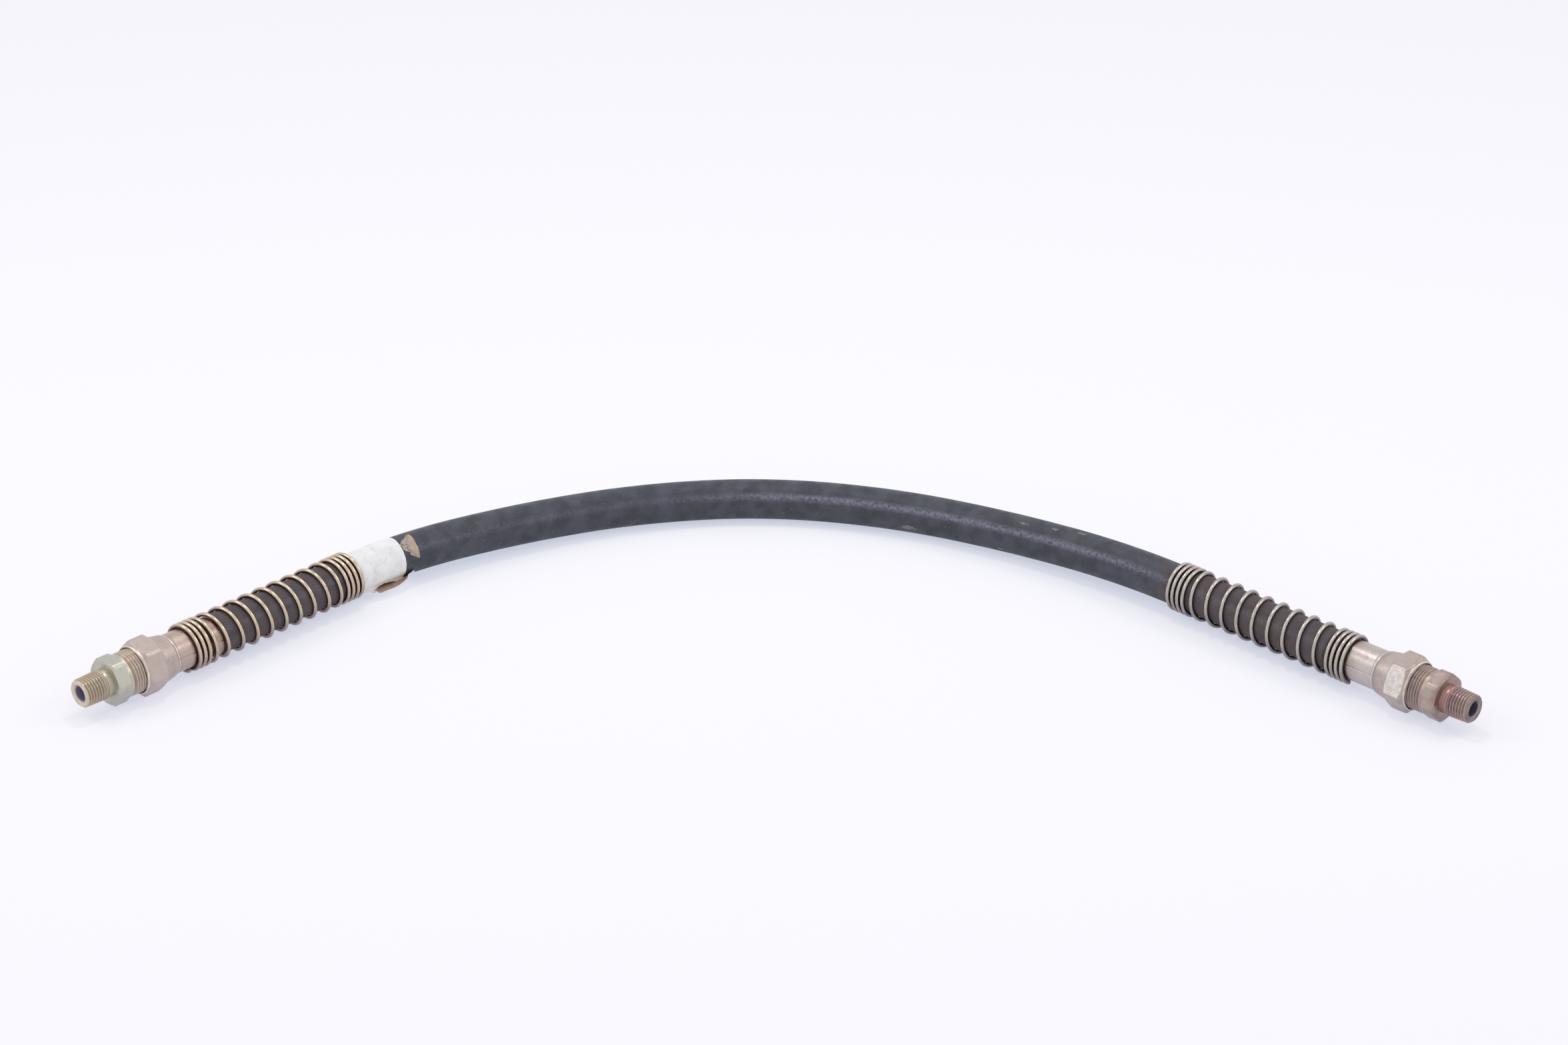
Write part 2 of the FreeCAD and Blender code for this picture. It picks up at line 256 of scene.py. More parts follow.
def between(tree, value, low, high, start=0.0, end=1.0):
    """A value carried smoothly from one range to another and held at its ends."""
    node = add(tree, "ShaderNodeMapRange", {"interpolation_type": "SMOOTHSTEP"}, Value=value,
               From_Min=low, From_Max=high, To_Min=start, To_Max=end)
    return node.outputs[0]


def within(tree, value, low, high, soft=0.2):
    """1 between two values and 0 outside them."""
    rise = between(tree, value, low - soft, low + soft)
    fall = between(tree, value, high - soft, high + soft, 1.0, 0.0)
    return times(tree, rise, fall)


def ramp(tree, factor, stops):
    """Colour ramp from a list of (position, hex code) stops."""
    node = add(tree, "ShaderNodeValToRGB", Fac=factor)
    elements = node.color_ramp.elements
    while len(elements) < len(stops):
        elements.new(0.5)
    for element, (position, code) in zip(elements, stops):
        element.position = position
        element.color = linear(code)
    return node.outputs["Color"]


def mixed(tree, share, first, second):
    """Two colours mixed by a share. Each is a hex code or a socket."""
    first, second = (linear(c) if isinstance(c, str) else c for c in (first, second))
    node = add(tree, "ShaderNodeMix", {"data_type": "RGBA"}, _0=share, _6=first, _7=second)
    return node.outputs[2]


# %% Patches and relief
def patches(tree, place, size, low=0.4, high=0.6, detail=3.0):
    """Cloudy patches of about the given size in millimetres, as a share from 0 to 1."""
    noise = add(tree, "ShaderNodeTexNoise", Vector=place, Scale=1 / size, Detail=detail)
    return between(tree, noise.outputs[0], low, high)


def bumps(tree, height, depth, strength=1.0):
    """Normal that follows a height from 0 to 1, whose real depth is given in millimetres."""
    node = add(tree, "ShaderNodeBump", Strength=strength, Distance=depth * MM, Height=height)
    return node.outputs[0]


# %% [markdown]
# ## Floor, backdrop and light
# The hose lies on a white sweep in a light tent. The floor is a large pale plane. The camera sees
# a lit part and a glowing part of it that add up to white, and in a shadow the bluish glow is
# what remains. A pale world fills in from all sides, and three small lamps give the metal its
# bright points and the hose its soft shadow.

# %% Floor
def seen_directly(tree):
    """1 for rays from the camera, a mirror or glass, 0 for the light that falls on things."""
    path = add(tree, "ShaderNodeLightPath")
    share = maths(tree, "MAXIMUM", path.outputs["Is Camera Ray"], path.outputs["Is Glossy Ray"])
    return maths(tree, "MAXIMUM", share, path.outputs["Is Transmission Ray"])


floor_size = 6
lit_part, glow_part = [0.50, 0.46, 0.40, 1], [0.49, 0.52, 0.63, 1]
bpy.ops.object.select_all(action="DESELECT")
bpy.ops.mesh.primitive_plane_add(size=floor_size, location=(0, 1, 0))
floor = bpy.context.object
floor.name = "floor"
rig.stage(floor)
material, tree = new_material("white_paper_sweep")
paper = add(tree, "ShaderNodeBsdfDiffuse", Color=linear("f0f0f0"))
shadowed = add(tree, "ShaderNodeBsdfDiffuse", Color=lit_part)
glow = add(tree, "ShaderNodeEmission", Color=glow_part, Strength=1.0)
shown = add(tree, "ShaderNodeAddShader", _0=shadowed.outputs[0], _1=glow.outputs[0])
finish_material(tree, add(tree, "ShaderNodeMixShader", _0=seen_directly(tree),
                          _1=paper.outputs[0], _2=shown.outputs[0]))
# The glow is only seen and lights nothing, so no light is sampled from it.
material.cycles.emission_sampling = "NONE"
dress(floor, material)

# %% World
light_strength, seen_strength = 0.72, 1.0
world = bpy.data.worlds.new("light_tent")
bpy.context.scene.world = world
world.use_nodes = True
tree = world.node_tree
tree.nodes.clear()
strength = between(tree, seen_directly(tree), 0, 1, light_strength, seen_strength)
background = add(tree, "ShaderNodeBackground", Color=linear("ffffff"), Strength=strength)
out = tree.nodes.new("ShaderNodeOutputWorld")
tree.links.new(background.outputs[0], out.inputs["Surface"])
bpy.context.scene.view_settings.view_transform = "Standard"
print("world lights at", light_strength, "and is seen at", seen_strength)

# %% Lamps
# Each lamp has its name, place, side in metres and power in watts.
lamps = [
    ("lamp_above", (-0.05, 0.2, 1.1), 0.18, 1.7),
    ("lamp_left", (-1.0, 0.1, 0.9), 0.4, 1.6),
    ("lamp_right", (1.0, 0.1, 0.9), 0.4, 1.6),
]
lamp_target = Vector((0, 0.05, 0))
for name, location, size, power in lamps:
    bpy.ops.object.select_all(action="DESELECT")
    bpy.ops.object.light_add(type="AREA", location=location)
    lamp = bpy.context.object
    lamp.name = name
    lamp.data.shape = "SQUARE"
    lamp.data.size = size
    lamp.data.energy = power
    lamp.rotation_euler = (Vector(location) - lamp_target).to_track_quat("Z", "Y").to_euler()
    print(name, "of", power, "W at", location)

# %% [markdown]
# ## The route of the hose
# The hose is one free length held in the two fittings. Its line is a smooth spline that uses the
# same points as the CAD model's route, with one more point on each long straight run. That point
# keeps the line straight as far as the guard's inner end, as the photograph shows it.

# %% Route
left_height, right_height = 12.8996, 12.6741
route = [Vector(p) * MM for p in (
    (-304.6, -49.8, left_height),
    (-176.7, 81.0, left_height),
    (-120.0, 115.9, 11.0),
    (-63.3, 138.5, 9.7),
    (-4.2, 145.2, 9.6),
    (55.6, 133.8, 9.7),
    (110.5, 108.0, 10.6),
    (163.5, 71.7, right_height),
    (304.7, -62.8, right_height),
)]
ferrule_start, ferrule_stop = 37.078, 74.578
hose_start = ferrule_start * MM
into_left = (route[1] - route[0]).normalized()
into_right = (route[-2] - route[-1]).normalized()
left_extra = route[1] - into_left * (route[2] - route[1]).length
right_extra = route[-2] - into_right * (route[-3] - route[-2]).length
line = [route[0] + into_left * hose_start, left_extra] + route[1:-1]
line += [right_extra, route[-1] + into_right * hose_start]


def smooth_curve(name, points):
    """Curve object with one spline that has the given control points."""
    data = bpy.data.curves.new(name, "CURVE")
    data.dimensions = "3D"
    data.resolution_u = 24
    spline = data.splines.new("NURBS")
    spline.points.add(len(points) - 1)
    for target, point in zip(spline.points, points):
        target.co = (*point, 1.0)
    spline.order_u = 3
    spline.use_endpoint_u = True
    curve = bpy.data.objects.new(name, data)
    bpy.context.collection.objects.link(curve)
    return curve


guide = smooth_curve("hose_line", line)
evaluated = bpy.data.meshes.new_from_object(guide)
centre_line = [v.co.copy() for v in evaluated.vertices]
bpy.data.objects.remove(guide)
distances = [0.0]
for a, b in zip(centre_line, centre_line[1:]):
    distances.append(distances[-1] + (b - a).length)
hose_length = distances[-1]
print("hose line: %d points, %.1f mm" % (len(centre_line), 1000 * hose_length))

# %% [markdown]
# ## Hose cover
# The cover is extruded black rubber with the impression of a cloth wrap. It could be a curve with
# a bevel, but the fittings squeeze it, so its radius changes near both ends. A tube of rings along
# the smooth line allows that, and gives the surface a map in real lengths.

# %% Places along the line
cover_radius = 9.525 * MM
squeezed_radius = 8.475 * MM
swell_length = 1.2 * MM
ferrule_end = ferrule_stop * MM
face_to_face = hose_length + 2 * hose_start


def on_line(u):
    """Point and direction on the hose's line, u metres from the left end face."""
    s = min(max(u - hose_start, 0.0), hose_length)
    i = max(bisect_left(distances, s), 1)
    share = (s - distances[i - 1]) / (distances[i] - distances[i - 1])
    ahead = (centre_line[i] - centre_line[i - 1]).normalized()
    return centre_line[i - 1].lerp(centre_line[i], share), ahead


def cross_section(u):
    """Centre of the hose at u metres, with the directions down and to the viewer's side."""
    centre, ahead = on_line(u)
    side = ahead.cross(Vector((0, 0, 1))).normalized()
    return centre, ahead.cross(side).normalized(), side


def round_point(u, radius, angle):
    """Point on a ring round the hose. Angle 0 is down and a quarter turn is the viewer's side."""
    centre, down, side = cross_section(u)
    return centre + down * (radius * math.cos(angle)) + side * (radius * math.sin(angle))


def cover_radius_at(u):
    """Squeezed under each ferrule, with a short swell beside it."""
    near = min(u, face_to_face - u)
    share = min(max((near - ferrule_end) / swell_length, 0.0), 1.0)
    share = share * share * (3 - 2 * share)
    return squeezed_radius + share * (cover_radius - squeezed_radius)


print("from face to face: %.1f mm along the axis" % (1000 * face_to_face))


# %% Rolled sheets and tubes
def only(obj):
    """Select one object alone and make it active."""
    bpy.ops.object.select_all(action="DESELECT")
    obj.select_set(True)
    bpy.context.view_layer.objects.active = obj


def grid_piece(name, columns, rows, place, map_size=None):
    """A grid whose vertices are put in place by a function of column and row, each from 0 to 1."""
    bpy.ops.object.select_all(action="DESELECT")
    bpy.ops.mesh.primitive_grid_add(x_subdivisions=columns, y_subdivisions=rows, size=2)
    piece = bpy.context.object
    piece.name = name
    piece.data.name = name
    shares = [((v.co.x + 1) / 2, (v.co.y + 1) / 2) for v in piece.data.vertices]
    if map_size:
        layer = piece.data.uv_layers.active or piece.data.uv_layers.new(name="UVMap")
        for loop in piece.data.loops:
            a, b = shares[loop.vertex_index]
            layer.data[loop.index].uv = (a * map_size[0], b * map_size[1])
    for vertex, (a, b) in zip(piece.data.vertices, shares):
        vertex.co = place(a, b)
    return piece


def weld(piece, smooth_angle=35):
    """Join doubles, turn faces outward and shade smooth below an angle."""
    only(piece)
    bpy.ops.object.mode_set(mode="EDIT")
    bpy.ops.mesh.select_all(action="SELECT")
    bpy.ops.mesh.remove_doubles(threshold=0.002 * MM)
    bpy.ops.mesh.normals_make_consistent(inside=False)
    bpy.ops.object.mode_set(mode="OBJECT")
    bpy.ops.object.shade_smooth_by_angle(angle=math.radians(smooth_angle))
    return piece


def stands_for(piece, body, node):
    """Put a piece on its body, in place of the CAD model's node."""
    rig.ride(piece, body)
    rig.replaces(piece, node)
    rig.slot(piece, node)
    print("%s: %d faces, on body %s" % (piece.name, len(piece.data.polygons), body))
    return piece


def hose_tube(name, profile, node, sides=56):
    """Tube along the hose from a closed list of (u, radius), mapped in metres along and round."""
    count = len(profile)

    def place(a, b):
        u, radius = profile[round(a * count) % count]
        return round_point(u, radius, 2 * math.pi * b)

    tube = grid_piece(name, count, sides, place, (count, 2 * math.pi * cover_radius))
    layer = tube.data.uv_layers.active
    for face_loop in tube.data.loops:
        column, across = layer.data[face_loop.index].uv
        layer.data[face_loop.index].uv = (profile[round(column) % count][0], across)
    return stands_for(weld(tube), "hose", node)


# %% Hose cover
cover_steps, swell_step, inner_step = 400, 0.3, 4
cover_bore = 7.42 * MM
cover_end = face_to_face - hose_start
ring_gap = (cover_end - hose_start) / cover_steps
ring_places = [hose_start + ring_gap * i for i in range(cover_steps + 1)]
swell_places = [ferrule_end + k * swell_step * MM for k in range(-1, 6)]
ring_places = sorted(ring_places + swell_places + [face_to_face - u for u in swell_places])
fewer_places = ring_places[::inner_step]


def two_walls(outer_wall, bore):
    """Closed profile: out along the outer wall and back along the bore."""
    return outer_wall + [(u, bore) for u in reversed(fewer_places)]


cover_profile = two_walls([(u, cover_radius_at(u)) for u in ring_places], cover_bore)
hose_cover = hose_tube("hose_cover_rubber", cover_profile, "hose_cover")
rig.cord(hose_cover, exit=centre_line[0], length=hose_length, diameter=2 * cover_radius,
        far_end="object", stiffness="stiff", lay="loose", path=[on_line(u)[0] for u in ring_places])

# %% [markdown]
# ## Liner and braid
# Under the cover lies a textile braid that takes the pressure, and inside that a smooth rubber
# liner that holds the fluid. Both run from fitting to fitting. They are plain tubes along the
# same line, so that a cut through the hose shows its three layers.

# %% Liner and braid
def inner_layer(name, outer, inner, node):
    profile = two_walls([(u, outer * MM) for u in fewer_places], inner * MM)
    return hose_tube(name, profile, node, sides=40)


hose_braid = inner_layer("hose_braid_cord", 7.38, 6.28, "hose_braid")
hose_liner = inner_layer("hose_liner_rubber", 6.26, 4.76, "hose_liner")

# %% [markdown]
# ## Places on a fitting
# Each fitting is modelled along X from its threaded end face, and then laid on the first or last
# run of the hose, as the CAD model does it. Its pieces are turned on a lathe, so each is an
# outline of distances and radii that runs once round the axis. A radius may depend on the angle,
# which is how a thread or a hexagon gets into the same ring.

# %% Laying a fitting's piece in place
def placement(start, towards):
    heading = math.atan2(towards.y - start.y, towards.x - start.x)
    return Matrix.Translation(start) @ Matrix.Rotation(heading, 4, "Z")


lay = {"left": placement(route[0], route[1]), "right": placement(route[-1], route[-2])}


def lay_piece(piece, side, body, node):
    piece.data.transform(lay[side])
    return stands_for(piece, body, node)


for side, where in lay.items():
    print("%s fitting heads %.1f degrees" % (side, math.degrees(where.to_euler().z)))

# %% Turned pieces
turned_sides = 120


def turned(name, outline, first_angle=0.0):
    """Ring rolled from a grid. The outline is a closed list of (u, radius) in millimetres, and a
    radius may be a function of the angle, as a thread's or a hexagon's is."""
    count = len(outline)

    def place(a, b):
        u, radius = outline[round(a * count) % count]
        angle = first_angle + 2 * math.pi * b
        size = radius(angle) if callable(radius) else radius
        return Vector((u, size * math.cos(angle), size * math.sin(angle))) * MM

    return weld(grid_piece(name, count, turned_sides, place))


def steps(start, end, step):
    count = max(1, round((end - start) / step))
    return [start + (end - start) * i / count for i in range(count + 1)]


def thread_groove(u, angle, pitch):
    """Share of full depth, 0 on the crest and 1 at the root, of a right-handed thread."""
    crest_end, flank_length = 0.82, 0.64
    turn = (u / pitch - angle / (2 * math.pi)) % 1.0
    away = abs(turn - 0.5) * 2
    return min(max((crest_end - away) / flank_length, 0.0), 1.0)


def hex_radius(angle, flat, roll):
    """Distance from axis to hexagon at an angle from +Y; a flat lies underneath at roll 0."""
    side = (math.degrees(angle) + 90 - roll + 30) % 60 - 30
    return flat / math.cos(math.radians(side))


# %% [markdown]
# ## End bodies
# An end body is turned and milled from bar: a male taper pipe thread, a neck, a hexagon, a collar
# and a straight thread that the nut runs on. The CAD model has its true sizes with plain cones for
# threads. Here the grid's radius follows the thread's groove, so real ridges catch the light.

# %% Sizes of an end body
pitch = 25.4 / 18
ring_step, hex_step = pitch / 12, 0.23
passage, mouth_chamfer = 3.5025, 0.9
taper_radius, taper_slope, taper_length, taper_depth = 6.58, 1 / 32, 11.4, 0.62
nose_chamfer, neck_end = 0.8, 14.2
body_hex_end, collar_end, nut_start = 21.1, 23.0, 29.3
body_flat, body_core, hexagon_bore, hex_chamfer = 10.325, 9.5, 6.5, 0.6
body_corner = body_flat / math.cos(math.pi / 6) - 0.5
collar_radius = body_flat - 0.02
thread_end = nut_start + 5.3 * pitch
thread_radius, thread_depth, thread_chamfer = 10.325, 0.6, 0.7
relief_length, relief_slope = 0.3, 0.7
fade_length, least_groove = 1.5 * pitch, 0.15
tail_end, tail_root, tail_tip = 71.0, 4.7, 4.6
print("straight thread ends %.2f mm from the face" % thread_end)


# %% Threads and hexagon of an end body
def taper_thread(u):
    """Crest of the cone with its groove, which fades out at the neck, behind a chamfered nose."""
    crest = taper_radius + u * taper_slope
    chamfer = taper_radius - nose_chamfer + u
    fade = min(1.0, max(0.0, (taper_length - u) / fade_length) + least_groove)

    def radius(angle):
        return min(crest - taper_depth * fade * thread_groove(u, angle, pitch), chamfer)
    return radius


def straight_thread(u):
    """Thread with a plain root beside the collar and a chamfer at its far end."""
    start = thread_radius - thread_chamfer + max(0.0, (u - collar_end - relief_length) / relief_slope)
    end = thread_radius - max(0.0, u - (thread_end - thread_chamfer))

    def radius(angle):
        return min(thread_radius - thread_depth * thread_groove(u, angle, pitch), end, start)
    return radius


def body_hexagon(u, roll):
    """Hexagon with corners that are turned off, and a short slope at each end."""
    rise = min(u - neck_end, body_hex_end - u) / hex_chamfer + body_flat

    def radius(angle):
        return min(hex_radius(angle, body_flat, roll), rise, body_corner)
    return radius


# %% End bodies
def end_body(side, roll):
    """Core with both threads, and a hexagon round it."""
    outline = [(0, passage + mouth_chamfer)]
    outline += [(u, taper_thread(u)) for u in steps(0, taper_length, ring_step)]
    outline += [(taper_length + 0.35, taper_radius), (neck_end - 0.2, taper_radius),
                (neck_end + 0.1, 6.7), (neck_end + 0.5, body_core), (body_hex_end - 0.5, body_core),
                (body_hex_end, collar_radius), (body_hex_end + 0.3, collar_radius),
                (collar_end - 0.35, collar_radius), (collar_end - 0.1, body_flat - 0.25)]
    outline += [(u, straight_thread(u)) for u in steps(collar_end, thread_end, ring_step)]
    outline += [(thread_end, tail_root), (tail_end, tail_tip), (tail_end, passage),
                (mouth_chamfer, passage)]
    core = turned(side + "_body_core", outline)
    outline = [(neck_end, hexagon_bore)]
    outline += [(u, body_hexagon(u, roll)) for u in steps(neck_end, body_hex_end, hex_step)]
    outline += [(body_hex_end, body_flat - 1.0)]
    hexagon = turned(side + "_body_hexagon", outline, math.radians(roll))
    only(core)
    hexagon.select_set(True)
    bpy.ops.object.join()
    core.name = side + "_end_body_steel"
    return lay_piece(core, side, side + "_end_body", side + "_end_body")


bodies = {"left": end_body("left", 0.0), "right": end_body("right", -16.0)}

# %% [markdown]
# ## Nuts
# The compression nut has a hexagon with turned corners between a thin front collar and a tapered
# round shoulder. The hexagon is again a radius that depends on the angle, cut back by cones at
# both ends, which leaves the curved chamfer lines that a turned hexagon has.

# %% Nuts
nut_flat, nut_end, nut_bore, nut_lip_bore = 11.905, 47.7, 10.375, 9.355
nut_bore_end, nut_lip_start = 41.65, 44.1
nut_corner = nut_flat / math.cos(math.pi / 6) - 0.25
nut_hex_start = nut_start + 1.2
nut_hex_end = nut_hex_start + 9.8
nut_collar = nut_flat - 0.4
nut_shoulder = nut_flat - 0.55


def nut_hexagon(u, roll):
    front = nut_collar + (u - nut_hex_start) / hex_chamfer
    rear = nut_shoulder + (nut_hex_end - u) / hex_chamfer

    def radius(angle):
        return min(hex_radius(angle, nut_flat, roll), front, rear, nut_corner)
    return radius


def nut(side, roll):
    outline = [(nut_start, nut_bore + 0.7), (nut_start, nut_flat - 0.9),
               (nut_start + 0.15, nut_flat - 0.6), (nut_start + 0.45, nut_collar),
               (nut_hex_start - 0.05, nut_collar)]
    outline += [(u, nut_hexagon(u, roll)) for u in steps(nut_hex_start, nut_hex_end, hex_step)]
    outline += [(nut_hex_end + 0.2, nut_shoulder - 0.05), (nut_hex_end + 0.6, nut_shoulder - 0.14),
                (nut_end - 0.9, 10.14), (nut_end - 0.5, 10.05), (nut_end - 0.15, 9.9),
                (nut_end, 9.6), (nut_end, nut_lip_bore), (nut_lip_start, nut_lip_bore),
                (nut_bore_end, nut_bore), (nut_start + 0.7, nut_bore)]
    piece = turned(side + "_nut_steel", outline, math.radians(roll))
    return lay_piece(piece, side, side + "_nut", side + "_nut")


nuts = {"left": nut("left", 11.0), "right": nut("right", -8.0)}

# %% [markdown]
# ## Spring guards
# A guard is one hard-drawn wire, close wound at both ends and open between. A curve with a round
# bevel draws exactly that: its points follow the winding, turn by turn, with each turn's pitch.
# The wire runs on the CAD model's centre line, and is as thick as the photograph shows it, which
# is a little thicker than the CAD model has it.

# %% Spring guards
guard_bore, cad_wire, guard_wire = 9.745, 1.72, 1.98
guard_radius = guard_bore + cad_wire / 2
closed = [2.8] * 7
guard_windings = {
    "left": (nut_end + 8.9, -115.0, closed + [5.7] * 2 + [8.34] * 16 + [5.2] * 2 + closed),
    "right": (nut_end + 15.8, -65.0, closed + [8.67] * 18 + [3.5] * 2 + closed),
}
points_per_half = 16


def guard_pitch(pitches, half):
    """Pitch at a place along the winding, eased from one half turn to the next."""
    place = half - 0.5
    low = min(max(math.floor(place), 0), len(pitches) - 1)
    high = min(low + 1, len(pitches) - 1)
    share = min(max(place - low, 0.0), 1.0)
    return pitches[low] * (1 - share) + pitches[high] * share


def spring_guard(side):
    """Wire wound from its start and first angle, with one pitch in millimetres a half turn."""
    start, first_angle, pitches = guard_windings[side]
    data = bpy.data.curves.new(side + "_guard_wire", "CURVE")
    data.dimensions = "3D"
    data.bevel_depth = guard_wire / 2 * MM
    data.bevel_resolution = 4
    data.use_fill_caps = True
    count = len(pitches) * points_per_half
    spline = data.splines.new("POLY")
    spline.points.add(count)
    u = start
    for i in range(count + 1):
        angle = math.radians(first_angle) + math.pi * i / points_per_half
        spot = Vector((u, guard_radius * math.cos(angle), guard_radius * math.sin(angle))) * MM
        spline.points[i].co = (*spot, 1.0)
        u += guard_pitch(pitches, (i + 0.5) / points_per_half) / (2 * points_per_half)
    wire = bpy.data.objects.new(side + "_spring_guard_wire", data)
    bpy.context.collection.objects.link(wire)
    only(wire)
    bpy.ops.object.convert(target="MESH")
    wire = bpy.context.object
    bpy.ops.object.shade_smooth_by_angle(angle=math.radians(40))
    print("%s guard ends %.1f mm from the face" % (side, u))
    return lay_piece(wire, side, "hose", side + "_spring_guard")


guards = {side: spring_guard(side) for side in ("left", "right")}

# %% [markdown]
# ## Ferrules
# A ferrule is rolled from strip, so its two long edges meet in a fine slit. Drawing it as a ring
# would lose that. Here the grid runs round from one edge of the strip to the other, and the two
# cut edges are closed afterwards.

# %% Ferrules
ferrule_bore, ferrule_outer, ferrule_head = 8.505, 9.305, 9.525
half_slit = 0.03 / ferrule_outer
long_face_ends = (45.0, 60.0, 73.5)


def ferrule(side, slit_angle):
    """Strip with a slightly wider head under the nut. Rings between shorten its long faces."""
    wall = [(ferrule_start, ferrule_bore), (ferrule_start, ferrule_head - 0.3),
            (ferrule_start + 0.3, ferrule_head), (ferrule_start + 4.5, ferrule_head),
            (ferrule_start + 6.5, ferrule_outer)]
    wall += [(u, ferrule_outer) for u in long_face_ends]
    wall += [(ferrule_stop - 0.35, ferrule_outer), (ferrule_stop - 0.1, ferrule_outer - 0.1),
             (ferrule_stop, ferrule_outer - 0.35), (ferrule_stop, ferrule_bore)]
    count = len(wall)

    def place(a, b):
        u, radius = wall[round(a * count) % count]
        angle = math.radians(90 + slit_angle) + half_slit + (2 * math.pi - 2 * half_slit) * b
        return Vector((u, radius * math.cos(angle), radius * math.sin(angle))) * MM

    grid = grid_piece(side + "_ferrule_steel", count, turned_sides, place)
    strip = weld(grid, smooth_angle=30)
    bpy.ops.object.mode_set(mode="EDIT")
    bpy.ops.mesh.select_all(action="SELECT")
    bpy.ops.mesh.fill_holes(sides=0)
    bpy.ops.mesh.normals_make_consistent(inside=False)
    bpy.ops.object.mode_set(mode="OBJECT")
    return lay_piece(strip, side, "hose", side + "_ferrule")


ferrules = {"left": ferrule("left", 82.0), "right": ferrule("right", -80.0)}

# %% [markdown]
# ## Paper label
# The label is a strip of paper wrapped round the hose, torn along its front edge. Its other end
# has come loose underneath, and lies forward with the glued side up. Cloth simulation would let
# it fall limp, and this paper is stiff, so the sheet is shaped point by point: every point is placed by
# how far it lies along the strip, and the torn edges come from a few chosen lengths.

# %% Torn edges
def graded(stops, x):
    """Value at x of a line through (x, value) stops."""
    for (x0, y0), (x1, y1) in zip(stops, stops[1:]):
        if x <= x1:
            return y0 + (y1 - y0) * max(x - x0, 0.0) / (x1 - x0)
    return stops[-1][1]


def fibre(x, size):
    """Small ragged edge of torn paper."""
    return size * (math.sin(7.3 * x) + 0.6 * math.sin(17.9 * x + 1.0) + 0.4 * math.sin(31.0 * x))


# Each stop is a place along the hose and a length or radius there, in millimetres.
front_hang = [(154, 1.0), (158, 1.5), (160.5, 2.2), (162.6, 3.4), (163.7, 4.3), (164.5, 3.8),
              (165.3, 1.4), (169, 0.5), (173, 0.9), (176, 1.6), (178.6, 2.8), (179.6, 3.0),
              (180.4, 2.2)]
flap_reach = [(163, 10.0), (164.5, 11.4), (168, 11.0), (172, 11.4), (176, 11.6), (180, 11.8),
              (184, 12.0), (185.5, 10.5)]
flap_bend = [(163, 90.0), (170, 80.0), (176, 38.0), (181, 14.0), (186, 10.8)]
print("longest tooth of the torn front edge: %.1f mm" % max(length for u, length in front_hang))

# %% Label sheet
label_radius = 9.575
wrapped_start, wrapped_stop = 154.3, 180.4
loose_start, loose_stop = 163.6, 185.4
front_share, loosening_share, flap_share = 0.12, 0.72, 0.80
front_angle = 42


def off_hose(u, across, fall):
    """Point beside and below the hose's axis, both in millimetres, seen along the hose."""
    centre, down, side = cross_section(u * MM)
    return centre + (side * across + down * fall) * MM


def label_place(a, b):
    """b runs from the torn front edge over the top and underneath to the end of the flap."""
    loose = min(max((b - loosening_share) / (flap_share - loosening_share), 0.0), 1.0)
    start = wrapped_start + (loose_start - wrapped_start) * loose
    stop = wrapped_stop + (loose_stop - wrapped_stop) * loose
    stop += 0.12 * math.sin(9 * b) + fibre(20 * b, 0.05)
    u = start + (stop - start) * a
    if b < front_share:
        hang = (graded(front_hang, u) + fibre(u, 0.10)) * (1 - b / front_share)
        lean = 0.30 * hang - 0.02 * hang * hang
        edge = math.radians(front_angle)
        return off_hose(u, label_radius * math.sin(edge) + 0.05 - lean * 0.4,
                        label_radius * math.cos(edge) + hang * 0.9)
    if b < flap_share:
        round_share = (b - front_share) / (flap_share - front_share)
        angle = math.radians(front_angle + (360 - front_angle) * round_share)
        wrinkle = 0.10 * (1 + math.sin(0.9 * u + 14 * b)) * math.sin(math.pi * a) ** 0.5
        wrinkle *= min(1.0, (b - front_share) / 0.05, (flap_share - b) / 0.05)
        radius = label_radius + wrinkle
        return off_hose(u, radius * math.sin(angle), radius * math.cos(angle))
    reach = graded(flap_reach, u) + fibre(u + 3, 0.10)
    bend = graded(flap_bend, u)
    turn = reach * (b - flap_share) / (1 - flap_share) / bend
    return off_hose(u, bend * math.sin(turn), label_radius - bend * (1 - math.cos(turn)))


# %% Paper with a glued side
def papered(piece, thickness, node):
    """Turn a sheet's face away from the hose and thicken it on that side. The first half of its
    vertices is then the side that was glued."""
    only(piece)
    bpy.ops.object.mode_set(mode="EDIT")
    bpy.ops.mesh.select_all(action="SELECT")
    bpy.ops.mesh.flip_normals()
    bpy.ops.object.mode_set(mode="OBJECT")
    skin = piece.modifiers.new("paper", "SOLIDIFY")
    skin.thickness = thickness * MM
    skin.offset = 1
    bpy.ops.object.modifier_apply(modifier=skin.name)
    bpy.ops.object.shade_smooth_by_angle(angle=math.radians(50))
    return stands_for(piece, "hose", node)


label = grid_piece("paper_label_sheet", 64, 110, label_place, (26, 80))
label = papered(label, 0.16, "paper_label")

# %% [markdown]
# ## Sticker remnant
# Beside the label sits what is left of an older sticker: a torn triangle with one clean curved
# edge. Its left edge is a list of places that a few tears would leave.

# %% Sticker remnant
# Each stop is an angle round the hose, in degrees, and a place along it, in millimetres.
tear = [(98, 187.9), (106, 185.8), (114, 183.4), (121, 183.9), (128, 181.5), (136, 180.5),
        (143, 180.9), (150, 180.2), (158, 181.7), (166, 183.9), (173, 186.0), (180, 187.0)]
sticker_low, sticker_high, clean_edge = 98, 180, 188.6


